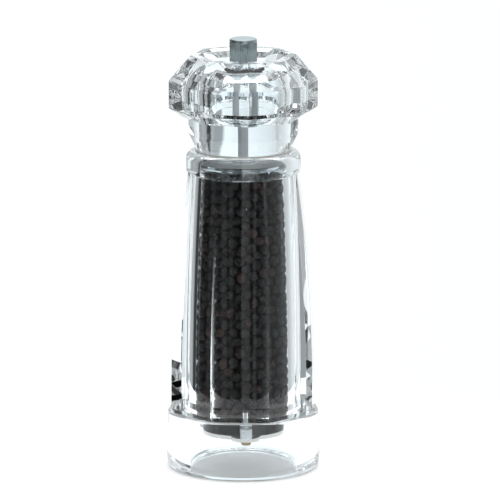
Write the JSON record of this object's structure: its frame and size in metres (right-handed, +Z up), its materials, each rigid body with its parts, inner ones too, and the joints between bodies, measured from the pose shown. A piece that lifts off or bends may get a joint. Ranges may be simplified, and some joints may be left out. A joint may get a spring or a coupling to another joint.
{
  "type": "pepper mill",
  "caption": "Clear acrylic pepper mill: faceted turning head with a metal adjusting knob over a tapered faceted barrel full of peppercorns, with a steel burr grinder in its foot.",
  "frame": {"origin": "centre of the foot's resting face, on the mill's axis", "axes": "+Z up along the spindle, towards the adjusting knob; one flat facet of the barrel faces -Y"},
  "size_m": [0.0604, 0.0604, 0.17],
  "materials": {
    "acrylic": "clear polished acrylic, flame-polished edges",
    "nylon": "natural nylon",
    "knob_metal": "satin, straight knurled side",
    "satin_steel": "satin stainless",
    "soft_seal": "translucent silicone",
    "spindle_aluminium": "drawn square bar, satin",
    "burr_steel": "hardened, oil-blackened, pepper dust in the teeth",
    "spring_steel": "bright spring wire",
    "housing_steel": "dark turned steel",
    "plate_steel": "bright pressed steel",
    "brass": "dull brass",
    "bright_post": "bright turned",
    "peppercorn": "dry wrinkled black pepper"
  },
  "bodies": {
    "barrel": {"barrel": "acrylic", "outer_burr": "burr_steel", "bridge": "satin_steel", "bridge_bush": "nylon", "grinder_housing": "housing_steel", "grinder_plate": "plate_steel", "grinder_screws": "brass", "screw_posts": "bright_post", "peppercorns": "peppercorn"},
    "ring": {"glide_ring": "nylon"},
    "head": {"head": "acrylic", "drive_plate": "satin_steel", "drive_plate_screws": "satin_steel", "spigot_ring": "soft_seal"},
    "washer": {"knob_washer": "satin_steel"},
    "knob": {"adjusting_knob": "knob_metal"},
    "spindle": {"spindle": "spindle_aluminium", "inner_burr": "burr_steel", "spring": "spring_steel", "spring_seat": "satin_steel", "end_washer": "satin_steel", "dome_nut": "brass"}
  },
  "joints": [
    {"name": "head_turn", "type": "hinge", "parent": "barrel", "child": "ring", "pos_m": [0, 0, 0.1263], "axis": [0, 0, 1], "continuous": true},
    {"name": "head_lift", "type": "slide", "parent": "ring", "child": "head", "axis": [0, 0, 1], "range_m": [0, 0.048]},
    {"name": "knob_lift", "type": "slide", "parent": "head", "child": "washer", "axis": [0, 0, 1], "range_m": [0, 0.012]},
    {"name": "knob_turn", "type": "hinge", "parent": "washer", "child": "knob", "pos_m": [0, 0, 0.1584], "axis": [0, 0, 1], "range_deg": [0, 540]},
    {"name": "coarseness", "type": "slide", "parent": "ring", "child": "spindle", "axis": [0, 0, 1], "range_m": [-0.0012, 0], "deforming": ["spring"]}
  ],
  "couplings": [
    {"joint": "knob_turn", "follows": "coarseness", "rad_per_m": -7853}
  ]
}
